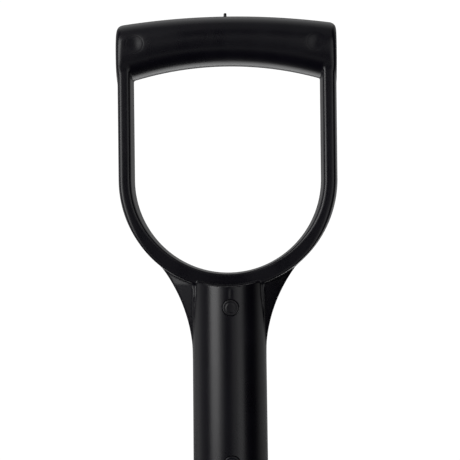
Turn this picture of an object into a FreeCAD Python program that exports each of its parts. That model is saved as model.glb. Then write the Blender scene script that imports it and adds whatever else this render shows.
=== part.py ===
import FreeCAD, Part
import os
import math
import Sketcher
from FreeCAD import Vector, Placement, Rotation

# Round point shovel with a moulded D-grip.
# Row frame, millimetres: +Z up along the shaft, +X to the right, front = -Y.
# The origin is the middle of the crossbar's underside, where the tool hangs.

doc = FreeCAD.newDocument("RoundPointShovel")

# --------------------------------------------------------------------------
# Driving dimensions
# --------------------------------------------------------------------------
DIMS = [
    # crossbar
    ("bar_half_width", 66.1),
    ("bar_half_height", 14.85),
    ("bar_half_depth", 13.4),
    ("bar_mid_station", 34.0),
    ("bar_mid_half_height", 15.65),
    ("bar_mid_centre_z", 12.76),
    ("bar_end_half_height", 17.9),
    ("bar_end_centre_z", 6.9),
    ("bar_end_fillet", 3.4),
    # yoke: two arms and the half ring, one section swept along a U
    ("yoke_centre_radius", 60.75),
    ("yoke_half_width", 5.0),
    ("yoke_face_half_width", 3.2),
    ("yoke_half_depth", 11.5),
    ("yoke_top_z", 8.0),
    ("ring_centre_z", -67.9),
    ("ring_outer_radius", 63.2),
    # side webs and the wedge pads beside the socket
    ("web_foot_x", 21.9),
    ("web_foot_z", -174.0),
    ("web_arc_radius", 88.0),
    ("web_tip_x", 46.5),
    ("web_tip_z", -113.0),
    ("web_root_x", 43.6),
    ("web_root_z", -110.2),
    ("web_thickness", 12.6),
    ("pad_half_width", 21.3),
    ("pad_low_z", -166.0),
    ("pad_top_z", -127.0),
    ("pad_top_half_depth", 11.0),
    ("pad_low_half_depth", 5.5),
    # socket of the grip
    ("tube_top_z", -126.0),
    ("tube_end_z", -262.0),
    ("tube_top_radius", 21.75),
    ("tube_end_radius", 22.4),
    ("tube_mouth_chamfer", 0.8),
    ("bore_radius", 18.05),
    ("bore_floor_z", -138.0),
    ("gate_radius", 0.95),
    ("gate_height", 2.3),
    # retaining pins
    ("pin_radius", 3.0),
    ("pin_head_radius", 4.8),
    ("pin_head_seat_y", 19.9),
    ("pin_x", 1.5),
    ("pin_high_z", -143.7),
    ("pin_low_z", -235.0),
    ("pin_clearance", 0.05),
    # shaft and the plugs in its ends
    ("shaft_radius", 18.0),
    ("shaft_inner_radius", 14.8),
    ("shaft_low_z", -737.0),
    ("core_radius", 14.75),
    ("upper_core_low_z", -262.0),
    ("lower_core_high_z", -590.0),
    # blade socket, collar and rivets
    ("sheet_thickness", 1.9),
    ("socket_radius", 19.95),
    ("socket_top_z", -604.0),
    ("shoulder_z", -724.0),
    ("socket_back_drop", 2.7),
    ("seam_width", 2.4),
    ("collar_inner_radius", 20.0),
    ("collar_radius", 21.5),
    ("collar_top_z", -600.0),
    ("collar_low_z", -700.0),
    ("rivet_radius", 3.0),
    ("rivet_head_radius", 5.6),
    ("rivet_head_height", 3.2),
    ("rivet_high_z", -626.0),
    ("rivet_low_z", -676.0),
    # blade dish: the shell between two tori, cut to the outline
    ("dish_axis_y", -890.8),
    ("dish_axis_z", -676.9),
    ("dish_major_radius", 665.0),
    ("dish_minor_radius", 235.0),
    ("blade_top_half_width", 106.0),
    ("blade_half_width", 111.0),
    ("blade_side_z", -812.0),
    ("blade_flank_radius", 238.1),
    ("blade_tip_x", 13.0),
    ("blade_tip_z", -1004.5),
    ("blade_tip_end_z", -1009.0),
    ("blade_corner_drop", 12.0),
    ("frog_start_z", -738.0),
    ("frog_end_radius", 5.0),
    ("frog_end_z", -890.0),
    ("frog_end_y", -14.6),
    ("step_depth", 15.0),
    ("step_start_x", 27.0),
    ("step_end_x", 104.0),
]

sheet = doc.addObject("Spreadsheet::Sheet", "dims")
for row, (alias, value) in enumerate(DIMS, 1):
    sheet.set("A%d" % row, alias)
    sheet.set("B%d" % row, repr(value))
    sheet.setAlias("B%d" % row, alias)
doc.recompute()
D = dict((alias, float(getattr(sheet, alias))) for alias, _ in DIMS)


def link(alias, sign=1):
    """A driven number: its value now, and the expression that binds it."""
    value = D[alias] * sign
    text = "dims." + alias if sign == 1 else "%g * dims.%s" % (sign, alias)
    return value, text


def plane(body, role):
    return next(o for o in body.Origin.OriginFeatures if o.Role == role)


def ccw_arc(a, via, b):
    """Arc through three points, always turning anticlockwise."""
    turn = (via[0] - a[0]) * (b[1] - a[1]) - (via[1] - a[1]) * (b[0] - a[0])
    if turn < 0:
        a, b = b, a
    d = 2.0 * (a[0] * (via[1] - b[1]) + via[0] * (b[1] - a[1]) + b[0] * (a[1] - via[1]))
    qa, qv, qb = (p[0] ** 2 + p[1] ** 2 for p in (a, via, b))
    x = (qa * (via[1] - b[1]) + qv * (b[1] - a[1]) + qb * (a[1] - via[1])) / d
    y = (qa * (b[0] - via[0]) + qv * (a[0] - b[0]) + qb * (via[0] - a[0])) / d
    radius = math.hypot(a[0] - x, a[1] - y)
    first = math.atan2(a[1] - y, a[0] - x)
    last = math.atan2(b[1] - y, b[0] - x)
    if last <= first:
        last += 2.0 * math.pi
    return Part.ArcOfCircle(Part.Circle(Vector(x, y, 0), Vector(0, 0, 1), radius), first, last)


def outline(body, role, points, edges, closed=True):
    """Sketch through driven points.

    points: list of (x, z), each a (value, expression) pair or None for zero.
    edges: one entry per side, None for a straight side, or
           (bulge point, radius pair) for an arc.
    """
    sk = body.newObject("Sketcher::SketchObject", body.Name + "_outline")
    sk.AttachmentSupport = [(plane(body, role), "")]
    sk.MapMode = "FlatFace"
    num = [((p[0][0] if p[0] else 0.0), (p[1][0] if p[1] else 0.0)) for p in points]
    count = len(points) if closed else len(points) - 1
    for i in range(count):
        a, b = num[i], num[(i + 1) % len(points)]
        if edges[i] is None:
            sk.addGeometry(Part.LineSegment(Vector(a[0], a[1], 0), Vector(b[0], b[1], 0)), False)
        else:
            sk.addGeometry(ccw_arc(a, edges[i][0], b), False)
    # which end of each edge carries the running point (arcs may be reversed)
    def ends(i):
        g = sk.Geometry[i]
        a = num[i]
        s = g.StartPoint
        forward = math.hypot(s.x - a[0], s.y - a[1]) < 1e-6
        return (1, 2) if forward else (2, 1)
    for i in range(count):
        if i + 1 < count or closed:
            j = (i + 1) % count
            sk.addConstraint(Sketcher.Constraint("Coincident", i, ends(i)[1], j, ends(j)[0]))
    spots = [(i, ends(i)[0]) for i in range(count)]
    if not closed:
        spots.append((count - 1, ends(count - 1)[1]))
    for n, ((geo, pos), p) in enumerate(zip(spots, points)):
        for axis, kind, other in ((0, "DistanceX", -2), (1, "DistanceY", -1)):
            pair = p[axis]
            if pair is None:
                sk.addConstraint(Sketcher.Constraint("PointOnObject", geo, pos, other))
            else:
                k = sk.addConstraint(Sketcher.Constraint(kind, -1, 1, geo, pos, pair[0]))
                name = "p%d%s" % (n, "xz"[axis])
                sk.renameConstraint(k, name)
                sk.setExpression("Constraints." + name, pair[1])
    for i in range(count):
        if edges[i] is not None and edges[i][1] is not None:
            k = sk.addConstraint(Sketcher.Constraint("Radius", i, edges[i][1][0]))
            sk.renameConstraint(k, "r%d" % i)
            sk.setExpression("Constraints.r%d" % i, edges[i][1][1])
    doc.recompute()
    return sk


def pad_body(name, role, points, edges, length_expr):
    body = doc.addObject("PartDesign::Body", name)
    sk = outline(body, role, points, edges)
    pad = body.newObject("PartDesign::Pad", name + "_pad")
    pad.Profile = sk
    pad.SideType = "Symmetric"
    pad.setExpression("Length", length_expr)
    sk.Visibility = False
    doc.recompute()
    return body


def cylinder(name, radius, height, place, axis=None):
    """Part::Cylinder bound to the sheet; place = expressions for x, y, z."""
    c = doc.addObject("Part::Cylinder", name)
    c.setExpression("Radius", radius)
    c.setExpression("Height", height)
    if axis == "Y":
        c.Placement = Placement(Vector(), Rotation(Vector(1, 0, 0), -90))
    elif axis == "X":
        c.Placement = Placement(Vector(), Rotation(Vector(0, 1, 0), 90))
    elif axis == "Z_SEAM_BACK":
        c.Placement = Placement(Vector(), Rotation(Vector(0, 0, 1), 90))
    for key, text in zip("xyz", place):
        if text:
            c.setExpression("Placement.Base." + key, text)
    return c


def cone(name, low_radius, high_radius, height, place):
    c = doc.addObject("Part::Cone", name)
    c.setExpression("Radius1", low_radius)
    c.setExpression("Radius2", high_radius)
    c.setExpression("Height", height)
    for key, text in zip("xyz", place):
        if text:
            c.setExpression("Placement.Base." + key, text)
    return c


def box(name, sizes, place):
    b = doc.addObject("Part::Box", name)
    for key, text in zip(("Length", "Width", "Height"), sizes):
        b.setExpression(key, text)
    for key, text in zip("xyz", place):
        if text:
            b.setExpression("Placement.Base." + key, text)
    return b


def fuse(name, shapes):
    f = doc.addObject("Part::MultiFuse", name)
    f.Shapes = shapes
    f.Refine = True
    return f


def cut(name, base, tool):
    c = doc.addObject("Part::Cut", name)
    c.Base = base
    c.Tool = tool
    return c


def common(name, shapes):
    c = doc.addObject("Part::MultiCommon", name)
    c.Shapes = shapes
    return c


# --------------------------------------------------------------------------
# D-grip
# --------------------------------------------------------------------------
# Crossbar: oval sections from end to end. Its back is arched and its
# underside arched more, so the bar thickens towards the arms.
bar_sections = []
for label, station, height, centre in (
        ("bar_left_end", "-dims.bar_half_width", "bar_end_half_height", "bar_end_centre_z"),
        ("bar_left_mid", "-dims.bar_mid_station", "bar_mid_half_height", "bar_mid_centre_z"),
        ("bar_centre", None, "bar_half_height", "bar_half_height"),
        ("bar_right_mid", "dims.bar_mid_station", "bar_mid_half_height", "bar_mid_centre_z"),
        ("bar_right_end", "dims.bar_half_width", "bar_end_half_height", "bar_end_centre_z")):
    e = doc.addObject("Part::Ellipse", label)
    # major axis along Z, minor axis along Y
    e.Placement = Placement(Vector(), Rotation(Vector(0, 1, 0), -90))
    e.setExpression("MajorRadius", "dims." + height)
    e.setExpression("MinorRadius", "dims.bar_half_depth")
    if station:
        e.setExpression("Placement.Base.x", station)
    e.setExpression("Placement.Base.z", "dims." + centre)
    bar_sections.append(e)
doc.recompute()
bar_loft = doc.addObject("Part::Loft", "bar_loft")
bar_loft.Sections = bar_sections
bar_loft.Solid = True
bar_loft.Ruled = False
doc.recompute()
bar = doc.addObject("Part::Fillet", "bar")
bar.Base = bar_loft
end_edges = []
for i, e in enumerate(bar_loft.Shape.Edges, 1):
    xs = [p.x for p in e.discretize(9)]
    if min(xs) > D["bar_half_width"] - 0.01 or max(xs) < -D["bar_half_width"] + 0.01:
        end_edges.append((i, D["bar_end_fillet"], D["bar_end_fillet"]))
bar.Edges = end_edges
doc.recompute()

# Yoke: a six-sided section, widest at the parting plane, swept along a U.
yoke = doc.addObject("PartDesign::Body", "yoke")
spine = outline(
    yoke, "XZ_Plane",
    [(link("yoke_centre_radius", -1), link("yoke_top_z")),
     (link("yoke_centre_radius", -1), link("ring_centre_z")),
     (link("yoke_centre_radius"), link("ring_centre_z")),
     (link("yoke_centre_radius"), link("yoke_top_z"))],
    [None, ((0.0, D["ring_centre_z"] - D["yoke_centre_radius"]), None), None],
    closed=False)
# the arc's centre stays level with its ends
k = spine.addConstraint(Sketcher.Constraint("DistanceY", -1, 1, 1, 3, D["ring_centre_z"]))
spine.renameConstraint(k, "centre_z")
spine.setExpression("Constraints.centre_z", "dims.ring_centre_z")
doc.recompute()

section = yoke.newObject("Sketcher::SketchObject", "yoke_section")
section.AttachmentSupport = [(plane(yoke, "XY_Plane"), "")]
section.MapMode = "FlatFace"
section.setExpression("AttachmentOffset.Base.z", "dims.yoke_top_z")
c0, hw, fw, hd = D["yoke_centre_radius"], D["yoke_half_width"], D["yoke_face_half_width"], D["yoke_half_depth"]
corners = [(-c0 - hw, 0.0, "-(dims.yoke_centre_radius + dims.yoke_half_width)", None),
           (-c0 - fw, -hd, "-(dims.yoke_centre_radius + dims.yoke_face_half_width)", "-dims.yoke_half_depth"),
           (-c0 + fw, -hd, "-(dims.yoke_centre_radius - dims.yoke_face_half_width)", "-dims.yoke_half_depth"),
           (-c0 + hw, 0.0, "-(dims.yoke_centre_radius - dims.yoke_half_width)", None),
           (-c0 + fw, hd, "-(dims.yoke_centre_radius - dims.yoke_face_half_width)", "dims.yoke_half_depth"),
           (-c0 - fw, hd, "-(dims.yoke_centre_radius + dims.yoke_face_half_width)", "dims.yoke_half_depth")]
for i in range(6):
    a, b = corners[i], corners[(i + 1) % 6]
    section.addGeometry(Part.LineSegment(Vector(a[0], a[1], 0), Vector(b[0], b[1], 0)), False)
for i in range(6):
    section.addConstraint(Sketcher.Constraint("Coincident", i, 2, (i + 1) % 6, 1))
for i, (x, y, ex, ey) in enumerate(corners):
    k = section.addConstraint(Sketcher.Constraint("DistanceX", -1, 1, i, 1, x))
    section.renameConstraint(k, "c%dx" % i)
    section.setExpression("Constraints.c%dx" % i, ex)
    if ey is None:
        section.addConstraint(Sketcher.Constraint("PointOnObject", i, 1, -1))
    else:
        k = section.addConstraint(Sketcher.Constraint("DistanceY", -1, 1, i, 1, y))
        section.renameConstraint(k, "c%dy" % i)
        section.setExpression("Constraints.c%dy" % i, ey)
doc.recompute()
sweep = yoke.newObject("PartDesign::AdditivePipe", "yoke_sweep")
sweep.Profile = section
sweep.Spine = spine
doc.recompute()

# Side webs: a plate on the parting plane, concave at each side, that ties
# the ring to the socket.
web_cx = D["web_foot_x"] + D["web_arc_radius"]
mid_z = 0.5 * (D["web_foot_z"] + D["web_tip_z"])
mid_x = web_cx - math.sqrt(D["web_arc_radius"] ** 2 - (mid_z - D["web_foot_z"]) ** 2)
web = pad_body(
    "web", "XZ_Plane",
    [(link("web_foot_x", -1), link("web_foot_z")),
     (link("web_foot_x"), link("web_foot_z")),
     (link("web_tip_x"), link("web_tip_z")),
     (link("web_root_x"), link("web_root_z")),
     (link("web_root_x", -1), link("web_root_z")),
     (link("web_tip_x", -1), link("web_tip_z"))],
    [None,
     ((mid_x, mid_z), link("web_arc_radius")),
     None,
     ((0.0, D["ring_centre_z"] - D["yoke_centre_radius"]), link("yoke_centre_radius")),
     None,
     ((-mid_x, mid_z), link("web_arc_radius"))],
    "dims.web_thickness")

# Wedge pads: they grow from the web's faces up to the ring's depth.
pads = pad_body(
    "pads", "YZ_Plane",
    [(link("pad_low_half_depth", -1), link("pad_low_z")),
     (link("pad_low_half_depth"), link("pad_low_z")),
     (link("pad_top_half_depth"), link("pad_top_z")),
     (link("pad_top_half_depth", -1), link("pad_top_z"))],
    [None, None, None, None],
    "2 * dims.pad_half_width")

# Socket tube, drafted, cut off along the ring's outer circle.
tube_cone = cone("tube_cone", "dims.tube_end_radius", "dims.tube_top_radius",
                 "dims.tube_top_z - dims.tube_end_z", (None, None, "dims.tube_end_z"))
ring_tool = cylinder("ring_tool", "dims.ring_outer_radius", "80",
                     (None, "-40", "dims.ring_centre_z"), "Y")
tube_outer = cut("tube_outer", tube_cone, ring_tool)
gate = cylinder("gate", "dims.gate_radius", "dims.gate_height + 3",
                (None, None, "2 * dims.bar_half_height - 3"))
grip_body = fuse("grip_body", [bar, yoke, web, pads, tube_outer, gate])
socket_bore = cylinder("socket_bore", "dims.bore_radius", "dims.bore_floor_z - dims.tube_end_z",
                       (None, None, "dims.tube_end_z"))
mouth = cone("mouth", "dims.bore_radius + dims.tube_mouth_chamfer", "dims.bore_radius",
             "dims.tube_mouth_chamfer", (None, None, "dims.tube_end_z"))
grip_tools = [socket_bore, mouth]
for tag, alias in (("high", "pin_high_z"), ("low", "pin_low_z")):
    grip_tools.append(cylinder("pin_hole_" + tag, "dims.pin_radius + dims.pin_clearance", "60",
                               ("dims.pin_x", "-30", "dims." + alias), "Y"))
    grip_tools.append(cylinder("pin_seat_front_" + tag, "dims.pin_head_radius + dims.pin_clearance", "20",
                               ("dims.pin_x", "-dims.pin_head_seat_y - 20", "dims." + alias), "Y"))
    grip_tools.append(cylinder("pin_seat_back_" + tag, "dims.pin_head_radius + dims.pin_clearance", "20",
                               ("dims.pin_x", "dims.pin_head_seat_y", "dims." + alias), "Y"))
grip_holes = fuse("grip_holes", grip_tools)
d_grip = cut("d_grip", grip_body, grip_holes)

# --------------------------------------------------------------------------
# Retaining pins: shank and two heads, trimmed flush with the tube.
# --------------------------------------------------------------------------
pin_parts = []
for tag, alias in (("high", "pin_high_z"), ("low", "pin_low_z")):
    pin_parts.append(cylinder("pin_shank_" + tag, "dims.pin_radius", "60",
                              ("dims.pin_x", "-30", "dims." + alias), "Y"))
    pin_parts.append(cylinder("pin_head_front_" + tag, "dims.pin_head_radius", "10",
                              ("dims.pin_x", "-dims.pin_head_seat_y - 10", "dims." + alias), "Y"))
    pin_parts.append(cylinder("pin_head_back_" + tag, "dims.pin_head_radius", "10",
                              ("dims.pin_x", "dims.pin_head_seat_y", "dims." + alias), "Y"))
pin_blanks = fuse("pin_blanks", pin_parts)
pin_trim = cone("pin_trim", "dims.tube_end_radius", "dims.tube_top_radius",
                "dims.tube_top_z - dims.tube_end_z", (None, None, "dims.tube_end_z"))
grip_pins = common("grip_pins", [pin_blanks, pin_trim])

# --------------------------------------------------------------------------
# Shaft and core plugs
# --------------------------------------------------------------------------
def cross_holes(prefix, half_length):
    out = []
    for tag, alias in (("high", "pin_high_z"), ("low", "pin_low_z")):
        out.append(cylinder(prefix + "_pin_" + tag, "dims.pin_radius + dims.pin_clearance", "60",
                            ("dims.pin_x", "-30", "dims." + alias), "Y"))
    return out


def rivet_holes(prefix):
    out = []
    for tag, alias in (("high", "rivet_high_z"), ("low", "rivet_low_z")):
        out.append(cylinder(prefix + "_rivet_" + tag, "dims.rivet_radius + dims.pin_clearance", "60",
                            (None, "-30", "dims." + alias), "Y"))
    return out


shaft_outer = cylinder("shaft_outer", "dims.shaft_radius", "dims.bore_floor_z - dims.shaft_low_z",
                       (None, None, "dims.shaft_low_z"))
shaft_inner = cylinder("shaft_inner", "dims.shaft_inner_radius", "dims.bore_floor_z - dims.shaft_low_z + 20",
                       (None, None, "dims.shaft_low_z - 10"))
shaft_tools = fuse("shaft_tools", [shaft_inner] + cross_holes("shaft", 30) + rivet_holes("shaft"))
shaft = cut("shaft", shaft_outer, shaft_tools)

upper_blank = cylinder("upper_blank", "dims.core_radius", "dims.bore_floor_z - dims.upper_core_low_z",
                       (None, None, "dims.upper_core_low_z"))
upper_core = cut("upper_core", upper_blank, fuse("upper_core_holes", cross_holes("upper_core", 30)))
lower_blank = cylinder("lower_blank", "dims.core_radius", "dims.lower_core_high_z - dims.shaft_low_z",
                       (None, None, "dims.shaft_low_z"))
lower_core = cut("lower_core", lower_blank, fuse("lower_core_holes", rivet_holes("lower_core")))

# --------------------------------------------------------------------------
# Blade: one pressing. The dish is the shell between two tori.
# --------------------------------------------------------------------------
def torus(name, minor):
    g = doc.addObject("Part::Torus", name)
    g.setExpression("Radius1", "dims.dish_major_radius")
    g.setExpression("Radius2", minor)
    g.Placement = Placement(Vector(), Rotation(Vector(0, 1, 0), 90))
    g.setExpression("Placement.Base.y", "dims.dish_axis_y")
    g.setExpression("Placement.Base.z", "dims.dish_axis_z")
    return g


torus_back = torus("torus_back", "dims.dish_minor_radius + dims.sheet_thickness")
torus_front = torus("torus_front", "dims.dish_minor_radius")
torus_middle = torus("torus_middle", "dims.dish_minor_radius + dims.sheet_thickness / 2")

# Outline of the dish: rounded shoulders, full cheeks, rounded point.
tw, hwid = D["blade_top_half_width"], D["blade_half_width"]


def arc_via(a, b, radius, side):
    """Middle point of the arc from a to b with this radius, bulging to side."""
    mx, mz = (a[0] + b[0]) / 2.0, (a[1] + b[1]) / 2.0
    dx, dz = b[0] - a[0], b[1] - a[1]
    half = math.hypot(dx, dz) / 2.0
    rise = radius - math.sqrt(radius * radius - half * half)
    nx, nz = dz / (2 * half), -dx / (2 * half)
    if nx * side < 0:
        nx, nz = -nx, -nz
    return mx + nx * rise, mz + nz * rise


zs, zt = D["blade_side_z"], D["blade_tip_z"]
tx = D["blade_tip_x"]
corner_z = D["shoulder_z"] - D["blade_corner_drop"]
fl = D["blade_flank_radius"]
flank_r = arc_via((hwid, zs), (tx, zt), fl, 1)
blade_plan = pad_body(
    "blade_plan", "XZ_Plane",
    [((-tw + 10.0, "-(dims.blade_top_half_width - 10)"), link("shoulder_z")),
     ((tw - 10.0, "dims.blade_top_half_width - 10"), link("shoulder_z")),
     (link("blade_top_half_width"), (corner_z, "dims.shoulder_z - dims.blade_corner_drop")),
     (link("blade_half_width"), link("blade_side_z")),
     (link("blade_tip_x"), link("blade_tip_z")),
     (link("blade_tip_x", -1), link("blade_tip_z")),
     (link("blade_half_width", -1), link("blade_side_z")),
     (link("blade_top_half_width", -1), (corner_z, "dims.shoulder_z - dims.blade_corner_drop"))],
    [None,
     ((tw - 2.6, D["shoulder_z"] - 3.2), None),
     ((hwid - 1.2, 0.5 * (corner_z + zs) + 6.0), None),
     (flank_r, link("blade_flank_radius")),
     ((0.0, D["blade_tip_end_z"]), None),
     ((-flank_r[0], flank_r[1]), link("blade_flank_radius")),
     ((-hwid + 1.2, 0.5 * (corner_z + zs) + 6.0), None),
     ((-tw + 2.6, D["shoulder_z"] - 3.2), None)],
    "300")

dish_shell = cut("dish_shell", torus_back, torus_front)
dish = common("dish", [dish_shell, blade_plan])

# Frog: the socket's front half runs on down the dish and dies away.
def ring_section(name, radius, place):
    c = doc.addObject("Part::Circle", name)
    c.Placement = Placement(Vector(), Rotation(Vector(0, 0, 1), 90))
    c.setExpression("Radius", radius)
    for key, text in zip("xyz", place):
        if text:
            c.setExpression("Placement.Base." + key, text)
    return c


def spine_solid(tag, offset, top_extra):
    """Socket cylinder and the tapering frog below it, as one solid."""
    top = ring_section("frog_top_" + tag, "dims.socket_radius - " + offset, (None, None, "dims.frog_start_z"))
    low = ring_section("frog_low_" + tag, "dims.frog_end_radius + dims.sheet_thickness - " + offset,
                       (None, "dims.frog_end_y", "dims.frog_end_z"))
    doc.recompute()
    taper = doc.addObject("Part::Loft", "frog_" + tag)
    taper.Sections = [top, low]
    taper.Solid = True
    taper.Ruled = True
    straight = cylinder("socket_" + tag, "dims.socket_radius - " + offset,
                        "dims.socket_top_z - dims.frog_start_z + " + top_extra, (None, None, "dims.frog_start_z"),
                        "Z_SEAM_BACK")
    return fuse("spine_" + tag, [straight, taper])


spine_outer = spine_solid("outer", "0", "0")
spine_core = spine_solid("core", "dims.sheet_thickness", "10")
spine_slot = spine_solid("slot", "dims.sheet_thickness / 2", "10")
spine_shell = cut("spine_shell", spine_outer, spine_core)

# Rolled socket: an open seam at the back.
seam = box("seam", ("dims.seam_width", "40", "200"),
           ("-dims.seam_width / 2", None, "dims.shoulder_z - 4"))

# The socket's back half stops a little below the shoulders; from there down
# the frog ends in the middle of the dish's sheet.
behind_block = box("behind_block", ("60", "60", "200"),
                   ("-30", "-40", "dims.shoulder_z - dims.socket_back_drop - 200"))
behind = cut("behind", behind_block, torus_middle)
spine_front = cut("spine_front", spine_shell, fuse("spine_tools", [behind, seam]))
dish_slotted = cut("dish_slotted", dish, spine_slot)

# Foot steps: the top edge turned forward on both sides of the socket. Seen
# from above each is a strip between two arcs that follow the dish.
step_radius = "(dims.dish_minor_radius + dims.sheet_thickness / 2)"
step_centre = ("dims.dish_axis_y - %s + sqrt((dims.dish_major_radius + %s) ^ 2"
               " - (dims.dish_axis_z - dims.shoulder_z) ^ 2)" % (step_radius, step_radius))
step_back = cylinder("step_back", step_radius, "dims.sheet_thickness",
                     (None, step_centre, "dims.shoulder_z - dims.sheet_thickness"))
step_front = cylinder("step_front", step_radius + " - dims.step_depth", "dims.sheet_thickness + 2",
                      (None, step_centre, "dims.shoulder_z - dims.sheet_thickness - 1"))
step_ring = cut("step_ring", step_back, step_front)
step_left = box("step_left", ("dims.step_end_x - dims.step_start_x", "200", "dims.sheet_thickness"),
                ("-dims.step_end_x", "-100", "dims.shoulder_z - dims.sheet_thickness"))
step_right = box("step_right", ("dims.step_end_x - dims.step_start_x", "200", "dims.sheet_thickness"),
                 ("dims.step_start_x", "-100", "dims.shoulder_z - dims.sheet_thickness"))
steps = common("steps", [step_ring, fuse("step_boxes", [step_left, step_right])])

blade_blank = fuse("blade_blank", [dish_slotted, spine_front, steps])
blade = cut("blade", blade_blank, fuse("blade_tools", rivet_holes("blade")))

# --------------------------------------------------------------------------
# Collar and rivets
# --------------------------------------------------------------------------
collar_outer = cylinder("collar_outer", "dims.collar_radius", "dims.collar_top_z - dims.collar_low_z",
                        (None, None, "dims.collar_low_z"))
collar_inner = cylinder("collar_inner", "dims.collar_inner_radius",
                        "dims.collar_top_z - dims.collar_low_z", (None, None, "dims.collar_low_z"))
collar = cut("collar", collar_outer, fuse("collar_tools", [collar_inner] + rivet_holes("collar")))

rivet_parts = []
for tag, alias in (("high", "rivet_high_z"), ("low", "rivet_low_z")):
    rivet_parts.append(cylinder("rivet_shank_" + tag, "dims.rivet_radius", "2 * dims.collar_radius + 2",
                                (None, "-dims.collar_radius - 1", "dims." + alias), "Y"))
    for side, sign in (("front", "-"), ("back", "")):
        # domed head: a ball trimmed by the head's cylinder
        ball = doc.addObject("Part::Sphere", "rivet_ball_%s_%s" % (side, tag))
        ball.setExpression("Radius", "(dims.rivet_head_radius ^ 2 + dims.rivet_head_height ^ 2) / (2 * dims.rivet_head_height)")
        centre = "dims.collar_radius + dims.rivet_head_height - (dims.rivet_head_radius ^ 2 + dims.rivet_head_height ^ 2) / (2 * dims.rivet_head_height)"
        ball.setExpression("Placement.Base.y", "%s(%s)" % (sign, centre))
        ball.setExpression("Placement.Base.z", "dims." + alias)
        start = "-dims.collar_radius - 8" if side == "front" else "dims.collar_radius - 2"
        skirt = cylinder("rivet_skirt_%s_%s" % (side, tag), "dims.rivet_head_radius - 0.05", "10",
                         (None, start, "dims." + alias), "Y")
        rivet_parts.append(common("rivet_head_%s_%s" % (side, tag), [ball, skirt]))
rivet_heads = fuse("rivet_heads", [p for p in rivet_parts if p.Name.startswith("rivet_head")])
rivet_seat = cylinder("rivet_seat", "dims.collar_radius", "400", (None, None, "dims.collar_low_z - 100"))
rivet_caps = cut("rivet_caps", rivet_heads, rivet_seat)
socket_rivets = fuse("socket_rivets", [p for p in rivet_parts if p.Name.startswith("rivet_shank")] + [rivet_caps])

doc.recompute()

# --------------------------------------------------------------------------
# Check every object, then write each piece
# --------------------------------------------------------------------------
PIECES = [d_grip, grip_pins, shaft, upper_core, lower_core, blade, collar, socket_rivets]
SOLIDS = {"grip_pins": 2, "socket_rivets": 2}

for obj in doc.Objects:
    for state in obj.State:
        if "Invalid" in state or "Error" in state:
            raise RuntimeError("%s failed: %s" % (obj.Name, obj.State))
for piece in PIECES:
    piece.Label = piece.Name
    shape = piece.Shape
    if shape.isNull() or not shape.isValid():
        raise RuntimeError(piece.Name + " has no valid shape")
    if len(shape.Solids) != SOLIDS.get(piece.Name, 1):
        raise RuntimeError("%s has %d solids" % (piece.Name, len(shape.Solids)))
    b = shape.BoundBox
    print("%-14s V=%10.0f  X %.1f..%.1f  Y %.1f..%.1f  Z %.1f..%.1f" % (
        piece.Name, shape.Volume, b.XMin, b.XMax, b.YMin, b.YMax, b.ZMin, b.ZMax))

os.makedirs("parts", exist_ok=True)
for piece in PIECES:
    piece.Shape.exportStep("parts/%s.step" % piece.Label)
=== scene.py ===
import math
import bpy
import bmesh
import numpy as np
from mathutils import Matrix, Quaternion, Vector


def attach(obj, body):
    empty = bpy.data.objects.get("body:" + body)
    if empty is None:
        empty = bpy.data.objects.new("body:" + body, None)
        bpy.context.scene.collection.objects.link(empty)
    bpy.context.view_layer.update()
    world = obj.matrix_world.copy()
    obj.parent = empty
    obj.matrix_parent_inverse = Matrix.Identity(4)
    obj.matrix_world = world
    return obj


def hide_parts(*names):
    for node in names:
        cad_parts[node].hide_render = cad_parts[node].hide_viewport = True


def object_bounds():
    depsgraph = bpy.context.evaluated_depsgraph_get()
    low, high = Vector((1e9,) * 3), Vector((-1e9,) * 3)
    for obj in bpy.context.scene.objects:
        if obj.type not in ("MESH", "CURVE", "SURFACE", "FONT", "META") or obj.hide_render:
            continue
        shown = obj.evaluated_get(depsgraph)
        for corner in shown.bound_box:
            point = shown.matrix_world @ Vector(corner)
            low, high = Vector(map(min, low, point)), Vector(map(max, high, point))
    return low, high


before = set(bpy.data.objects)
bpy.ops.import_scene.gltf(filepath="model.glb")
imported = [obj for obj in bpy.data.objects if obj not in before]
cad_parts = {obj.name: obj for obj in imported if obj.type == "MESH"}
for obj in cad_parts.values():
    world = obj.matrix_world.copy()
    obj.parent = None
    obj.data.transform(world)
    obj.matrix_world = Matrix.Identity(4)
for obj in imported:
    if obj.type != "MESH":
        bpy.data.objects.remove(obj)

CAD_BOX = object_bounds()

# ---------------------------------------------------------------------------
# Meshing: every moulded or pressed piece is a signed distance function in
# millimetres, meshed on a sparse lattice and pulled exactly onto its surface.
# ---------------------------------------------------------------------------


def smin(a, b, k):
    h = np.clip(0.5 + 0.5 * (b - a) / k, 0.0, 1.0)
    return b + (a - b) * h - k * h * (1.0 - h)


def smax(a, b, k):
    return -smin(-a, -b, k)


def step01(v, a, b):
    t = np.clip((v - a) / (b - a), 0.0, 1.0)
    return t * t * (3.0 - 2.0 * t)


TET = np.array([[1, -1, -1], [-1, -1, 1], [-1, 1, -1], [1, 1, 1]], float)


def slope(f, p, e):
    g = np.zeros_like(p)
    m = np.zeros(len(p))
    for k in TET:
        v = f(p + k * e)
        g += v[:, None] * k
        m += v
    return g / (4.0 * e), m / 4.0


def pull(f, p, e, limit, times):
    for _ in range(times):
        g, v = slope(f, p, e)
        n2 = np.maximum((g * g).sum(1), 1e-6)
        d = -(v / n2)[:, None] * g
        length = np.linalg.norm(d, axis=1)
        d *= (np.minimum(length, limit) / np.maximum(length, 1e-12))[:, None]
        p = p + d
    return p


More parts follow.
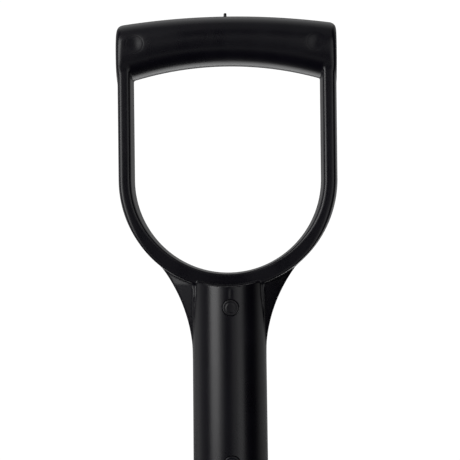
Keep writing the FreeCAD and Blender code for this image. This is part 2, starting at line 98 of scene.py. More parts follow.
def net(f, lo, hi, pitch, block=8, relax=4, slack=1.3):
    """Surface net of f = 0 between lo and hi: (points, quads)."""
    lo = np.array(lo, float)
    count = np.ceil((np.array(hi, float) - lo) / (pitch * block)).astype(np.int64)
    bi = np.stack(np.meshgrid(*[np.arange(c) for c in count], indexing="ij"), -1).reshape(-1, 3)
    size = pitch * block
    d = f(lo + (bi + 0.5) * size)
    bi = bi[np.abs(d) < size * 0.5 * math.sqrt(3.0) * slack]
    g = np.arange(block + 1)
    off = np.stack(np.meshgrid(g, g, g, indexing="ij"), -1)
    pts = lo + (bi[:, None, None, None, :] * block + off[None]) * pitch
    val = np.concatenate([f(c.reshape(-1, 3)) for c in np.array_split(pts, max(1, len(bi) // 600))])
    inside = (val < 0).reshape(len(bi), block + 1, block + 1, block + 1)
    total = np.zeros((len(bi), block, block, block), np.int8)
    for i in (0, 1):
        for j in (0, 1):
            for k in (0, 1):
                total += inside[:, i:block + i, j:block + j, k:block + k]
    b, i, j, k = np.nonzero((total > 0) & (total < 8))
    cell = bi[b] * block + np.stack([i, j, k], 1)
    span = count * block + 4

    def code(c):
        return ((c[:, 0] + 1) * span[1] + (c[:, 1] + 1)) * span[2] + (c[:, 2] + 1)

    keys = code(cell)
    keys, first = np.unique(keys, return_index=True)
    cell = cell[first]
    points = lo + (cell + 0.5) * pitch
    quads = []
    for axis in range(3):
        u, v = (axis + 1) % 3, (axis + 2) % 3
        a = [slice(None)] * 4
        c = [slice(None)] * 4
        a[axis + 1] = slice(0, block)
        c[axis + 1] = slice(1, block + 1)
        s0, s1 = inside[tuple(a)], inside[tuple(c)]
        b, i, j, k = np.nonzero(s0 != s1)
        node = bi[b] * block + np.stack([i, j, k], 1)
        out = s0[b, i, j, k]
        ek, pick = np.unique(code(node), return_index=True)
        node, out = node[pick], out[pick]
        ring = []
        for du, dv in ((-1, -1), (0, -1), (0, 0), (-1, 0)):
            n = node.copy()
            n[:, u] += du
            n[:, v] += dv
            at = np.searchsorted(keys, code(n))
            at = np.minimum(at, len(keys) - 1)
            ring.append(np.where(keys[at] == code(n), at, -1))
        q = np.stack(ring, 1)
        ok = (q >= 0).all(1)
        q, out = q[ok], out[ok]
        q[~out] = q[~out][:, ::-1]
        quads.append(q)
    quads = np.concatenate(quads)
    e = pitch * 0.08
    points = pull(f, points, e, pitch * 0.5, 5)
    edges = np.concatenate([quads[:, [0, 1]], quads[:, [1, 2]], quads[:, [2, 3]], quads[:, [3, 0]]])
    n = len(points)
    degree = np.bincount(edges[:, 0], minlength=n) + np.bincount(edges[:, 1], minlength=n)
    for _ in range(relax):
        mean = np.zeros_like(points)
        for c in range(3):
            mean[:, c] = np.bincount(edges[:, 0], points[edges[:, 1], c], minlength=n)
            mean[:, c] += np.bincount(edges[:, 1], points[edges[:, 0], c], minlength=n)
        move = mean / np.maximum(degree, 1)[:, None] - points
        g, _v = slope(f, points, e)
        g /= np.maximum(np.linalg.norm(g, axis=1), 1e-9)[:, None]
        move -= (move * g).sum(1)[:, None] * g
        points = pull(f, points + 0.6 * move, e, pitch * 0.3, 1)
    points = pull(f, points, e, pitch * 0.3, 2)
    return points, quads


def to_object(name, points, faces, normals=None):
    """A mesh object in metres from points in millimetres."""
    me = bpy.data.meshes.new(name)
    if isinstance(faces, np.ndarray):
        faces = faces.astype(np.int32)
        me.vertices.add(len(points))
        me.vertices.foreach_set("co", (np.asarray(points) * 0.001).astype(np.float32).ravel())
        me.loops.add(faces.size)
        me.loops.foreach_set("vertex_index", faces.ravel())
        me.polygons.add(len(faces))
        me.polygons.foreach_set("loop_start", np.arange(len(faces), dtype=np.int32) * faces.shape[1])
        me.update(calc_edges=True)
    else:
        me.from_pydata([tuple(c * 0.001 for c in p) for p in points], [], faces)
        me.update()
    me.validate()
    me.shade_smooth()
    o = bpy.data.objects.new(name, me)
    bpy.context.scene.collection.objects.link(o)
    return o


def refine(o, f, spots, cuts=3):
    """Splits the faces near each spot (x, y, z, radius in mm) and pulls the new points onto f."""
    bm = bmesh.new()
    bm.from_mesh(o.data)
    before = len(bm.verts)
    pick = set()
    centres = np.array([fc.calc_center_median()[:] for fc in bm.faces]) * 1000.0
    bm.faces.ensure_lookup_table()
    for sx, sy, sz, sr in spots:
        near = np.nonzero(((centres - np.array([sx, sy, sz])) ** 2).sum(1) < sr * sr)[0]
        pick.update(int(i) for i in near)
    edges = set()
    for i in pick:
        edges.update(bm.faces[i].edges)
    bmesh.ops.subdivide_edges(bm, edges=list(edges), cuts=cuts, use_grid_fill=True)
    bmesh.ops.triangulate(bm, faces=[fc for fc in bm.faces if len(fc.verts) > 4])
    bm.to_mesh(o.data)
    bm.free()
    me = o.data
    co = np.zeros(len(me.vertices) * 3, np.float32)
    me.vertices.foreach_get("co", co)
    p = co.reshape(-1, 3).astype(float) * 1000.0
    near = np.zeros(len(p), bool)
    for sx, sy, sz, sr in spots:
        near |= ((p - np.array([sx, sy, sz])) ** 2).sum(1) < (sr + 1.5) ** 2
    p[near] = pull(f, p[near], 0.03, 0.15, 5)
    me.vertices.foreach_set("co", (p * 0.001).astype(np.float32).ravel())
    me.update()
    me.shade_smooth()
    return o


def lathe(name, profile, segments=96, axis="Z", closed=True):
    """Turns (radius, height) points in mm about an axis. A closed profile makes a ring."""
    pts, faces = [], []
    n = len(profile)
    for s in range(segments):
        a = 2.0 * math.pi * s / segments
        for r, t in profile:
            q = (r * math.cos(a), r * math.sin(a), t)
            pts.append(q if axis == "Z" else (q[0], q[2], -q[1]))
    last = n if closed else n - 1
    for s in range(segments):
        t = (s + 1) % segments
        for i in range(last):
            j = (i + 1) % n
            faces.append((s * n + i, t * n + i, t * n + j, s * n + j))
    return pts, faces


def rounded(points, radius, steps=4):
    """Rounds the corners of a closed (radius, height) profile."""
    out = []
    n = len(points)
    for i in range(n):
        p0, p1, p2 = (np.array(points[(i + d) % n], float) for d in (-1, 0, 1))
        r = radius[i] if isinstance(radius, (list, tuple)) else radius
        if r <= 0:
            out.append(tuple(p1))
            continue
        a, b = p0 - p1, p2 - p1
        la, lb = np.linalg.norm(a), np.linalg.norm(b)
        r = min(r, 0.45 * la, 0.45 * lb)
        q0, q1 = p1 + a / la * r, p1 + b / lb * r
        for s in range(steps + 1):
            t = s / steps
            out.append(tuple((1 - t) ** 2 * q0 + 2 * t * (1 - t) * p1 + t ** 2 * q1))
    return out


def spaced(profile, gap):
    """Adds points along a closed profile so no span is longer than gap."""
    out = []
    for i, p in enumerate(profile):
        q = profile[(i + 1) % len(profile)]
        length = math.hypot(q[0] - p[0], q[1] - p[1])
        k = max(1, int(math.ceil(length / gap)))
        for s in range(k):
            out.append((p[0] + (q[0] - p[0]) * s / k, p[1] + (q[1] - p[1]) * s / k))
    return out


# ---------------------------------------------------------------------------
# Materials
# ---------------------------------------------------------------------------


def new_material(name):
    m = bpy.data.materials.new(name)
    m.use_nodes = True
    nt = m.node_tree
    nt.nodes.clear()
    out = nt.nodes.new("ShaderNodeOutputMaterial")
    bsdf = nt.nodes.new("ShaderNodeBsdfPrincipled")
    nt.links.new(bsdf.outputs[0], out.inputs[0])
    return m, nt, bsdf


def node(nt, kind, **values):
    n = nt.nodes.new("ShaderNode" + kind)
    for key, value in values.items():
        if key.startswith("in_"):
            k = key[3:]
            k = int(k) if k.isdigit() else k.replace("_", " ")
            n.inputs[k].default_value = value
        else:
            setattr(n, key, value)
    return n


def ramp(nt, stops, source):
    r = nt.nodes.new("ShaderNodeValToRGB")
    els = r.color_ramp.elements
    while len(els) > 1:
        els.remove(els[-1])
    els[0].position, els[0].color = stops[0]
    for pos, col in stops[1:]:
        e = els.new(pos)
        e.color = col
    nt.links.new(source, r.inputs[0])
    return r


def noise(nt, vector, scale, detail=3.0, rough=0.5):
    n = node(nt, "TexNoise", in_Scale=scale, in_Detail=detail, in_Roughness=rough)
    nt.links.new(vector, n.inputs["Vector"])
    return n


def grey(v, a=1.0):
    return (v, v, v, a)


def tint(r, g, b):
    return (r, g, b, 1.0)


def moulded_plastic(name, dark, light, rough_low, rough_high, streak=0.0, grain=0.05):
    """Black moulded polymer: fine grain, faint flow variation, slight handling wear."""
    m, nt, b = new_material(name)
    co = node(nt, "TexCoord")
    vec = co.outputs["Object"]
    cloud = noise(nt, vec, 38.0, 4.0, 0.55)
    col = ramp(nt, [(0.30, dark), (0.72, light)], cloud.outputs["Fac"])
    nt.links.new(col.outputs[0], b.inputs["Base Color"])
    # long flow marks run up the part
    flow_map = node(nt, "Mapping", in_Scale=(60.0, 60.0, 9.0))
    nt.links.new(vec, flow_map.inputs["Vector"])
    flow = noise(nt, flow_map.outputs[0], 1.0, 3.0, 0.5)
    mixed = node(nt, "Math", operation="MULTIPLY_ADD", in_1=0.55, in_2=0.0)
    nt.links.new(flow.outputs["Fac"], mixed.inputs[0])
    add = node(nt, "Math", operation="MULTIPLY_ADD", in_1=0.45)
    nt.links.new(cloud.outputs["Fac"], add.inputs[0])
    nt.links.new(mixed.outputs[0], add.inputs[2])
    rr = node(nt, "MapRange", in_1=0.3, in_2=0.7, in_3=rough_low, in_4=rough_high)
    nt.links.new(add.outputs[0], rr.inputs[0])
    nt.links.new(rr.outputs[0], b.inputs["Roughness"])
    fine = noise(nt, vec, 2600.0, 2.0, 0.6)
    soft = noise(nt, vec, 130.0, 2.0, 0.5)
    bump1 = node(nt, "Bump", in_Strength=grain, in_Distance=0.00004)
    nt.links.new(fine.outputs["Fac"], bump1.inputs["Height"])
    bump2 = node(nt, "Bump", in_Strength=0.10, in_Distance=0.00012)
    nt.links.new(soft.outputs["Fac"], bump2.inputs["Height"])
    nt.links.new(bump1.outputs[0], bump2.inputs["Normal"])
    nt.links.new(bump2.outputs[0], b.inputs["Normal"])
    b.inputs["Specular IOR Level"].default_value = 0.5
    return m


GRIP_MAT = moulded_plastic("grip_black_polypropylene", tint(0.0018, 0.0013, 0.0044), tint(0.0030, 0.0023, 0.0062), 0.24, 0.33)
PIN_MAT = moulded_plastic("pin_black_nylon", tint(0.0018, 0.0013, 0.0042), tint(0.0030, 0.0023, 0.0060), 0.30, 0.42)


def fibreglass_material():
    m, nt, b = new_material("shaft_black_fibreglass")
    co = node(nt, "TexCoord")
    vec = co.outputs["Object"]
    fibre_map = node(nt, "Mapping", in_Scale=(900.0, 900.0, 7.0))
    nt.links.new(vec, fibre_map.inputs["Vector"])
    fibre = noise(nt, fibre_map.outputs[0], 1.0, 4.0, 0.6)
    broad_map = node(nt, "Mapping", in_Scale=(160.0, 160.0, 3.0))
    nt.links.new(vec, broad_map.inputs["Vector"])
    broad = noise(nt, broad_map.outputs[0], 1.0, 3.0, 0.5)
    col = ramp(nt, [(0.25, tint(0.004, 0.004, 0.0045)), (0.6, tint(0.009, 0.009, 0.010)), (0.82, tint(0.020, 0.020, 0.022))], fibre.outputs["Fac"])
    nt.links.new(col.outputs[0], b.inputs["Base Color"])
    rr = node(nt, "MapRange", in_1=0.3, in_2=0.7, in_3=0.24, in_4=0.42)
    nt.links.new(broad.outputs["Fac"], rr.inputs[0])
    nt.links.new(rr.outputs[0], b.inputs["Roughness"])
    bump = node(nt, "Bump", in_Strength=0.22, in_Distance=0.00006)
    nt.links.new(fibre.outputs["Fac"], bump.inputs["Height"])
    nt.links.new(bump.outputs[0], b.inputs["Normal"])
    b.inputs["Specular IOR Level"].default_value = 0.5
    return m


def powder_material(name, worn):
    """Black powder coat with orange peel; where the attribute 'worn' is high the bare ground steel shows."""
    m, nt, b = new_material(name)
    co = node(nt, "TexCoord")
    vec = co.outputs["Object"]
    peel = noise(nt, vec, 900.0, 2.0, 0.45)
    cloud = noise(nt, vec, 22.0, 4.0, 0.55)
    paint = ramp(nt, [(0.3, tint(0.007, 0.007, 0.0078)), (0.75, tint(0.014, 0.014, 0.0152))], cloud.outputs["Fac"])
    rough = node(nt, "MapRange", in_1=0.3, in_2=0.7, in_3=0.36, in_4=0.50)
    nt.links.new(cloud.outputs["Fac"], rough.inputs[0])
    bump = node(nt, "Bump", in_Strength=0.30, in_Distance=0.00010)
    nt.links.new(peel.outputs["Fac"], bump.inputs["Height"])
    if not worn:
        nt.links.new(paint.outputs[0], b.inputs["Base Color"])
        nt.links.new(rough.outputs[0], b.inputs["Roughness"])
        nt.links.new(bump.outputs[0], b.inputs["Normal"])
        return m
    att = node(nt, "Attribute", attribute_name="worn")
    chips = noise(nt, vec, 260.0, 5.0, 0.65)
    grow = node(nt, "Math", operation="MULTIPLY_ADD", in_1=0.30, in_2=-0.15)
    nt.links.new(chips.outputs["Fac"], grow.inputs[0])
    total = node(nt, "Math", operation="ADD")
    nt.links.new(att.outputs["Fac"], total.inputs[0])
    nt.links.new(grow.outputs[0], total.inputs[1])
    mask = node(nt, "MapRange", in_1=0.47, in_2=0.53, in_3=0.0, in_4=1.0)
    nt.links.new(total.outputs[0], mask.inputs[0])
    # grinding marks across the bevel
    grind_map = node(nt, "Mapping", in_Scale=(700.0, 700.0, 90.0))
    nt.links.new(vec, grind_map.inputs["Vector"])
    grind = noise(nt, grind_map.outputs[0], 1.0, 3.0, 0.6)
    steel = ramp(nt, [(0.3, tint(0.30, 0.30, 0.31)), (0.7, tint(0.52, 0.52, 0.53))], grind.outputs["Fac"])
    mix = node(nt, "Mix", data_type="RGBA")
    nt.links.new(mask.outputs[0], mix.inputs["Factor"])
    nt.links.new(paint.outputs[0], mix.inputs[6])
    nt.links.new(steel.outputs[0], mix.inputs[7])
    nt.links.new(mix.outputs[2], b.inputs["Base Color"])
    nt.links.new(mask.outputs[0], b.inputs["Metallic"])
    rsteel = node(nt, "MapRange", in_1=0.3, in_2=0.7, in_3=0.28, in_4=0.42)
    nt.links.new(grind.outputs["Fac"], rsteel.inputs[0])
    rmix = node(nt, "Mix", data_type="FLOAT")
    nt.links.new(mask.outputs[0], rmix.inputs["Factor"])
    nt.links.new(rough.outputs[0], rmix.inputs[2])
    nt.links.new(rsteel.outputs[0], rmix.inputs[3])
    nt.links.new(rmix.outputs[0], b.inputs["Roughness"])
    bump2 = node(nt, "Bump", in_Strength=0.35, in_Distance=0.00008, invert=True)
    nt.links.new(mask.outputs[0], bump2.inputs["Height"])
    nt.links.new(bump.outputs[0], bump2.inputs["Normal"])
    nt.links.new(bump2.outputs[0], b.inputs["Normal"])
    return m


def steel_material():
    m, nt, b = new_material("rivet_zinc_steel")
    co = node(nt, "TexCoord")
    vec = co.outputs["Object"]
    cloud = noise(nt, vec, 420.0, 4.0, 0.6)
    col = ramp(nt, [(0.3, tint(0.33, 0.33, 0.33)), (0.7, tint(0.55, 0.55, 0.54))], cloud.outputs["Fac"])
    nt.links.new(col.outputs[0], b.inputs["Base Color"])
    rr = node(nt, "MapRange", in_1=0.3, in_2=0.7, in_3=0.28, in_4=0.46)
    nt.links.new(cloud.outputs["Fac"], rr.inputs[0])
    nt.links.new(rr.outputs[0], b.inputs["Roughness"])
    b.inputs["Metallic"].default_value = 1.0
    bump = node(nt, "Bump", in_Strength=0.2, in_Distance=0.00008)
    nt.links.new(cloud.outputs["Fac"], bump.inputs["Height"])
    nt.links.new(bump.outputs[0], b.inputs["Normal"])
    return m


def wood_material():
    m, nt, b = new_material("core_hardwood")
    co = node(nt, "TexCoord")
    vec = co.outputs["Object"]
    mp = node(nt, "Mapping", in_Scale=(220.0, 220.0, 10.0))
    nt.links.new(vec, mp.inputs["Vector"])
    grain = noise(nt, mp.outputs[0], 1.0, 5.0, 0.6)
    col = ramp(nt, [(0.3, tint(0.26, 0.155, 0.07)), (0.7, tint(0.48, 0.32, 0.17))], grain.outputs["Fac"])
    nt.links.new(col.outputs[0], b.inputs["Base Color"])
    rr = node(nt, "MapRange", in_1=0.3, in_2=0.7, in_3=0.55, in_4=0.75)
    nt.links.new(grain.outputs["Fac"], rr.inputs[0])
    nt.links.new(rr.outputs[0], b.inputs["Roughness"])
    bump = node(nt, "Bump", in_Strength=0.3, in_Distance=0.0002)
    nt.links.new(grain.outputs["Fac"], bump.inputs["Height"])
    nt.links.new(bump.outputs[0], b.inputs["Normal"])
    return m


FIBRE_MAT = fibreglass_material()
BLADE_MAT = powder_material("blade_powder_coat", True)
COLLAR_MAT = powder_material("collar_powder_coat", False)
RIVET_MAT = steel_material()
WOOD_MAT = wood_material()

# ---------------------------------------------------------------------------
# D-grip
# ---------------------------------------------------------------------------
RING_Z = -67.9
PINS = (-143.7, -235.0)
PIN_X = 1.5
TUBE_LOW, TUBE_TOP = -262.0, -126.0


def tube_radius(z):
    return 22.45 + (21.95 - 22.45) * (z - TUBE_LOW) / (TUBE_TOP - TUBE_LOW)


def bar_shape(x, y, z):
    xs = np.minimum(x * x, 72.0 ** 2)
    top = 29.7 - (448.0 - np.sqrt(448.0 ** 2 - xs))
    low = -(199.0 - np.sqrt(199.0 ** 2 - xs))
    zc, hh = 0.5 * (top + low), 0.5 * (top - low)
    dd = 13.3 - 0.5 * xs / 66.0 ** 2
    n = 2.25
    u = np.abs(y) / dd + 1e-6
    v = np.abs(z - zc) / hh + 1e-6
    k = (u ** n + v ** n) ** (1.0 / n)
    g = k ** (1.0 - n) * np.sqrt((u ** (n - 1.0) / dd) ** 2 + (v ** (n - 1.0) / hh) ** 2)
    bar = (k - 1.0) / np.maximum(g, 0.02)
    return smax(bar, np.abs(x) - 65.7, 4.2)


def yoke_shape(x, y, z, rr):
    ax, ay = np.abs(x), np.abs(y)
    r = np.where(z > RING_Z, ax, rr) - 60.75
    low = step01(-z, 85.0, 122.0)
    deep = 11.5 - 0.4 * step01(z, -50.0, 0.0)
    lean = (1.5 - 0.9 * low) / 11.5
    side = (np.abs(r) - (5.0 - lean * ay)) / np.sqrt(1.0 + lean * lean)
    body = smax(side, ay - deep, 2.4 - 1.5 * low)
    return smax(body, z - 12.0, 1.0)


def grip_sdf(p):
    x, y, z = p[:, 0], p[:, 1], p[:, 2]
    ax, ay = np.abs(x), np.abs(y)
    rr = np.hypot(x, z - RING_Z)
    bar = bar_shape(x, y, z)
    yoke = yoke_shape(x, y, z, rr)
    d = smin(bar, yoke, 0.9)
    # side webs
    arc = 88.0 - np.hypot(ax - 109.9, z + 174.0)
    ring = 60.75 - rr
    fan = (ax * 45.1 - (RING_Z - z) * 46.5) / 64.8
    slope_up = 3.2 + 7.4 * np.clip((z + 174.0) / 44.0, 0.0, 1.0)
    thick = np.maximum(slope_up - 0.52 * np.maximum(ax - 21.3, 0.0), 2.2)
    web = smax(arc, (ay - thick) * 0.88, 1.0)
    web = smax(np.maximum(np.maximum(web, ring), fan), -174.6 - z, 0.6)
    d = smin(d, web, 0.7)
    # wedge pads beside the socket
    rise = np.clip((z + 166.0) / 36.0, 0.0, 0.80)
    pad = smax((ay - (5.4 + 6.4 * rise)) * 0.985, ax - 21.3, 0.6)
    pad = smax(np.maximum(np.maximum(pad, ring), z + 100.0), -168.0 - z, 0.6)
    d = smin(d, pad, 0.4)
    # socket
    rho = np.hypot(x, y)
    tube = rho - tube_radius(z)
    tube = smax(tube, 63.2 - rr, 0.6)
    tube = np.maximum(tube, z + 112.0)
    tube = smax(tube, TUBE_LOW - z, 1.0)
    d = smin(d, tube, 0.45)
    bore = smax(rho - 18.05, z + 138.0, 0.5)
    d = smax(d, -bore, 0.6)
    # seats of the retaining pins
    for pz in PINS:
        ring_r = np.hypot(x - PIN_X, z - pz)
        seat = np.maximum(ring_r - 4.85, 19.9 - ay)
        d = smax(d, -seat, 0.35)
        d = np.maximum(d, -(ring_r - 3.05))
    # sink line above the upper pin
    sink = np.exp(-((x - PIN_X - 0.2) / 1.0) ** 2) * step01(z, -139.5, -137.0) * (1.0 - step01(z, -134.5, -131.5))
    d = d + 0.20 * sink * (y < 0)
    # sunk witness marks near both ends of the bar
    for wx in (-54.2, 53.2):
        w = np.hypot(x - wx, z - 12.5)
        d = d + 0.6 * np.exp(-(w / 4.0) ** 2) * (y < 0)
        d = d + 0.04 * np.exp(-((w - 5.2) / 0.32) ** 2) * (y < 0)
    # gate nub
    nub = np.maximum(np.hypot(x + 0.6, y) - 0.9, z - 31.9)
    nub = np.maximum(nub, 20.0 - z)
    d = smin(d, nub, 0.4)
    return d


pts, quads = net(grip_sdf, (-69.0, -25.0, -265.0), (69.0, 25.0, 34.0), 0.75)
grip = to_object("d_grip_moulding", pts, quads)
spots = [(-54.2, -13.0, 12.5, 7.5), (53.2, -13.0, 12.5, 7.5), (-0.6, 0.0, 30.5, 3.5), (PIN_X, -21.8, -135.5, 4.5)]
for pz in PINS:
    spots += [(PIN_X, -21.5, pz, 7.0), (PIN_X, 21.5, pz, 7.0)]
refine(grip, grip_sdf, spots)
grip.data.materials.append(GRIP_MAT)
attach(grip, "root")
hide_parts("d_grip")


def pin_sdf(p):
    x, y, z = p[:, 0], p[:, 1], p[:, 2]
    ay = np.abs(y)
    zz = np.where(z > -190.0, z - PINS[0], z - PINS[1])
    ring_r = np.hypot(x - PIN_X, zz)
    skin = np.hypot(x, y) - (tube_radius(z) - 0.02)
    skin = skin + 0.22 * np.exp(-((ring_r - 3.1) / 0.30) ** 2)
    head = smax(smax(ring_r - 4.75, 19.95 - ay, 0.3), skin, 0.4)
    shank = np.maximum(ring_r - 3.0, skin)
    return np.minimum(head, shank)


pp, pq = [], []
for pz in PINS:
    a, q = net(pin_sdf, (PIN_X - 5.6, -23.2, pz - 5.6), (PIN_X + 5.6, 23.2, pz + 5.6), 0.35, relax=3)
    pq.append(q + sum(len(b) for b in pp))
    pp.append(a)
pins = to_object("grip_retaining_pins", np.concatenate(pp), np.concatenate(pq))
pins.data.materials.append(PIN_MAT)
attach(pins, "root")
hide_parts("grip_pins")

# ---------------------------------------------------------------------------
# Shaft, collar and rivets
# ---------------------------------------------------------------------------
prof = [(18.0, -737.0), (18.0, -138.0), (14.8, -138.0), (14.8, -737.0)]
prof = spaced(rounded(prof, 0.5, 3), 12.0)
p, f = lathe("shaft", prof, 128)
shaft = to_object("shaft_tube", p, f)
shaft.data.materials.append(FIBRE_MAT)
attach(shaft, "root")
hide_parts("shaft")

prof = [(20.0, -700.0), (21.5, -700.0), (21.5, -696.0), (21.0, -694.6), (21.0, -606.4), (21.5, -605.0), (21.5, -600.0), (20.0, -600.0)]
prof = spaced(rounded(prof, [0.3, 0.7, 0.8, 0.8, 0.8, 0.8, 0.7, 0.3], 4), 4.0)
p, f = lathe("collar", prof, 128)
collar = to_object("socket_collar", p, f)
collar.data.materials.append(COLLAR_MAT)
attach(collar, "root")
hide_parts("collar")


def rivet_mesh():
    pts, faces = [], []
    seg, rings = 48, 12
    rim, high = 5.5, 3.1
    ball = (rim ** 2 + high ** 2) / (2 * high)
    for pz in (-626.0, -676.0):
        # one closed skin: front dome, shank, back dome
        loops = []
        for s in (-1, 1):
            half = []
            for k in range(rings + 1):
                a = math.asin(rim / ball) * (k + 0.02) / (rings + 0.02)
                half.append((ball * math.sin(a), s * (21.5 + high - ball + ball * math.cos(a)), "dome"))
            half.append((rim, s * 21.2, "seat"))
            half.append((3.0, s * 20.9, "neck"))
            loops.append(half)
        profile = loops[0] + loops[1][::-1]
        base = len(pts)
        for r, y, kind in profile:
            for i in range(seg):
                a = 2 * math.pi * i / seg
                x, z = r * math.cos(a), r * math.sin(a)
                yy = y
                if kind == "seat":
                    yy = math.copysign(math.sqrt(21.02 ** 2 - x * x), y)
                elif kind == "dome" and r > 0.93 * rim:
                    yy = y
                pts.append((x, yy, pz + z))
        n = len(profile)
        for k in range(n - 1):
            for i in range(seg):
                j = (i + 1) % seg
                faces.append((base + k * seg + i, base + k * seg + j, base + (k + 1) * seg + j, base + (k + 1) * seg + i))
        faces.append(tuple(base + i for i in range(seg))[::-1])
        faces.append(tuple(base + (n - 1) * seg + i for i in range(seg)))
    return pts, faces


p, f = rivet_mesh()
rivets = to_object("socket_rivet_pair", p, f)
rivets.data.materials.append(RIVET_MAT)
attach(rivets, "root")
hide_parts("socket_rivets")

for name in ("upper_core", "lower_core"):
    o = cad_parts[name]
    o.data.materials.clear()
    o.data.materials.append(WOOD_MAT)

# ---------------------------------------------------------------------------
# Blade
# ---------------------------------------------------------------------------
SHEET = 1.9
AXIS_Y, AXIS_Z, MAJOR, MINOR = -890.8, -676.9, 665.0, 235.0


def blade_plan(x, z):
    """Signed distance to the blade's outline in the front view."""
    def side(s):
        low = np.hypot(s + 127.1, z + 812.0) - 238.1
        high = np.hypot(s + 469.0, z + 812.0) - 580.0
        return np.where(z < -812.0, low, high)
    d = smax(side(x), side(-x), 14.5)
    return smax(d, z + 724.0, 11.0)


def dish_depth(x, y, z):
    """Distance behind the dish's front face."""
    return np.hypot(np.hypot(y - AXIS_Y, z - AXIS_Z) - MAJOR, x) - MINOR


def blade_parts(p):
    x, y, z = p[:, 0], p[:, 1], p[:, 2]
    ax = np.abs(x)
    depth = dish_depth(x, y, z)
    s = np.clip((-738.0 - z) / 152.0, 0.0, 1.45)
    rad = 19.95 - 13.05 * s
    spine = np.hypot(x, y + 14.6 * s) - rad
    front = smin(-depth, spine, 9.0)          # negative behind the front face
    plan = blade_plan(x, z)
    return x, y, z, ax, depth, spine, front, plan


def blade_sdf(p):
    x, y, z, ax, depth, spine, front, plan = blade_parts(p)
    edge = step01(plan, -7.5, -0.3) * step01(-z, 800.0, 850.0)
    thick = SHEET - 1.25 * edge
    sheet = np.maximum(front, -(front + thick))
    sheet = smax(sheet, plan, 0.9)
    # foot steps
    tread = np.abs(z + 724.95) - 0.95
    tread = smax(tread, -(depth + 14.9), 1.0)
    tread = np.maximum(tread, depth - 1.0)
    tread = smax(smax(tread, ax - 103.5, 5.0), 27.0 - ax, 4.0)
    sheet = smin(sheet, tread, 2.2)
    sheet = smax(sheet, smax(depth - SHEET, z + 724.0, 3.4), 0.3)
    # rolled socket
    rho = np.hypot(x, y)
    tube = np.abs(rho - 19.0) - 0.95
    tube = smax(smax(tube, z + 604.0, 0.6), -732.0 - z, 0.6)
    seam = np.maximum(ax - 1.2, -y)
    tube = smax(tube, -seam, 0.7)
    d = smin(sheet, tube, 2.2)
    # nothing inside the socket
    inner = np.maximum(rho - 18.05, -737.0 - z)
    d = np.maximum(d, -inner)
    for rz in (-626.0, -676.0):
        d = np.maximum(d, -(np.hypot(x, z - rz) - 3.05))
    return d


pts, quads = net(blade_sdf, (-114.0, -78.0, -1012.0), (114.0, 30.0, -600.0), 0.9, relax=4, slack=1.5)
blade = to_object("blade_pressing", pts, quads)
co = np.zeros(len(blade.data.vertices) * 3, np.float32)
blade.data.vertices.foreach_get("co", co)
q = co.reshape(-1, 3).astype(float) * 1000.0
plan = blade_plan(q[:, 0], q[:, 2])
worn = step01(plan, -9.0, -2.5) * step01(-q[:, 2], 815.0, 850.0)
att = blade.data.attributes.new("worn", "FLOAT", "POINT")
att.data.foreach_set("value", worn.astype(np.float32))
blade.data.materials.append(BLADE_MAT)
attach(blade, "root")
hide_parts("blade")

# ---------------------------------------------------------------------------
# Floor, camera and light
# ---------------------------------------------------------------------------
floor_z = CAD_BOX[0][2] - 0.0005
bpy.ops.mesh.primitive_plane_add(size=7.0, location=(0, 1.0, floor_z))
floor = bpy.context.object
floor.name = "floor"
fm, nt, fb = new_material("floor_graded_painted_shade")
fco = node(nt, "TexCoord")
fsep = nt.nodes.new("ShaderNodeSeparateXYZ")
nt.links.new(fco.outputs["Object"], fsep.inputs[0])
# painted shade: the floor's colour runs from pale (0.80) behind down to near-black (0.02) in front, below Y = -1.35
# m, standing in for the unlit room in front of the grip
fmap = node(nt, "MapRange", in_1=-1.35, in_2=-0.75, in_3=0.0, in_4=1.0)
nt.links.new(fsep.outputs["Y"], fmap.inputs[0])
floor_painted_shade = ramp(nt, [(0.0, grey(0.02)), (0.5, grey(0.12)), (1.0, grey(0.80))], fmap.outputs[0])
nt.links.new(floor_painted_shade.outputs[0], fb.inputs["Base Color"])
fb.inputs["Roughness"].default_value = 0.75
fb.inputs["Specular IOR Level"].default_value = 0.1
floor.data.materials.append(fm)

target = Vector((0.0010, 0.0, -0.0982))
reach = 0.82
turn = math.radians(1.75)
cam_data = bpy.data.cameras.new("camera")
cam_data.sensor_width = 36.0
cam_data.lens = 36.0 * reach / 0.276
cam = bpy.data.objects.new("camera", cam_data)
bpy.context.scene.collection.objects.link(cam)
cam.location = target + Vector((math.sin(turn), -math.cos(turn), 0.0)) * reach
look = (target - cam.location).to_track_quat("-Z", "Y")
cam.rotation_mode = "QUATERNION"
cam.rotation_quaternion = look @ Quaternion((0, 0, 1), math.radians(-0.62))
bpy.context.scene.camera = cam


def soft_box(name, azimuth, elevation, distance, width, height, power, aim=(0, 0, -0.1)):
    """An area light; azimuth 0 is in front of the grip (-Y), positive to +X."""
    a, e = math.radians(azimuth), math.radians(elevation)
    aim = Vector(aim)
    pos = aim + Vector((math.sin(a) * math.cos(e), -math.cos(a) * math.cos(e), math.sin(e))) * distance
    l = bpy.data.lights.new(name, "AREA")
    l.shape = "RECTANGLE"
    l.size, l.size_y = width, height
    l.energy = power
    o = bpy.data.objects.new(name, l)
    bpy.context.scene.collection.objects.link(o)
    o.location = pos
    o.rotation_euler = (aim - pos).to_track_quat("-Z", "Y").to_euler()
    return o


def radiant(width, height, level):
    """Power in watts that gives an area light this radiance."""
    return level * math.pi * width * height * 1.0


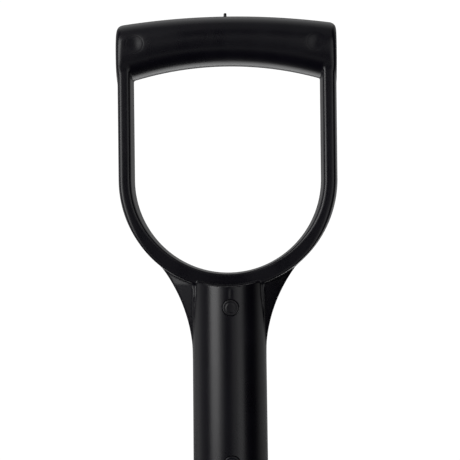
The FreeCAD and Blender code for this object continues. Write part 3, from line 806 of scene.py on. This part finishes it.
soft_box("key_left", -45.0, 13.0, 1.5, 0.80, 1.5, radiant(0.80, 1.5, 3.3))
soft_box("key_left_edge", -25.0, 13.0, 1.5, 0.32, 1.5, radiant(0.32, 1.5, 0.75))
soft_box("side_left", -100.0, 4.0, 1.5, 1.2, 1.6, radiant(1.2, 1.6, 0.16))
soft_box("fill_right", 35.0, 2.0, 1.6, 0.54, 1.8, radiant(0.54, 1.8, 0.95))
soft_box("fill_right_edge", 17.0, 2.0, 1.6, 0.46, 1.8, radiant(0.46, 1.8, 0.42))
soft_box("top_bank", 180.0, 72.0, 1.6, 1.8, 1.7, radiant(1.8, 1.7, 0.50))
soft_box("low_front_strip", -2.0, -20.0, 1.4, 0.7, 0.24, radiant(0.7, 0.24, 0.22))
soft_box("high_front_strip", -2.0, 17.0, 1.4, 0.7, 0.07, radiant(0.7, 0.07, 0.65))
soft_box("front_top", 0.0, 60.0, 1.5, 1.6, 0.95, radiant(1.6, 0.95, 0.20))
under = soft_box("under_card", 180.0, -48.0, 0.85, 1.3, 0.72, radiant(1.3, 0.72, 1.9))
under.visible_camera = False

world = bpy.data.worlds.new("studio")
bpy.context.scene.world = world
world.use_nodes = True
nt = world.node_tree
nt.nodes.clear()
out = nt.nodes.new("ShaderNodeOutputWorld")
seen = node(nt, "Background", in_Color=grey(1.0), in_Strength=1.05)
lit = node(nt, "Background", in_Strength=1.0)
mixer = nt.nodes.new("ShaderNodeMixShader")
path = nt.nodes.new("ShaderNodeLightPath")
co = nt.nodes.new("ShaderNodeTexCoord")
sep = nt.nodes.new("ShaderNodeSeparateXYZ")
nt.links.new(co.outputs["Generated"], sep.inputs[0])
back = node(nt, "MapRange", in_1=-0.10, in_2=0.35, in_3=0.0, in_4=1.0)
nt.links.new(sep.outputs["Y"], back.inputs[0])
level = ramp(nt, [(0.0, grey(0.002)), (0.35, grey(0.05)), (1.0, grey(0.32))], back.outputs[0])
nt.links.new(level.outputs[0], lit.inputs["Color"])
nt.links.new(path.outputs["Is Camera Ray"], mixer.inputs[0])
nt.links.new(lit.outputs[0], mixer.inputs[1])
nt.links.new(seen.outputs[0], mixer.inputs[2])
nt.links.new(mixer.outputs[0], out.inputs[0])

bpy.context.scene.view_settings.view_transform = "Standard"
bpy.context.scene.view_settings.look = "None"
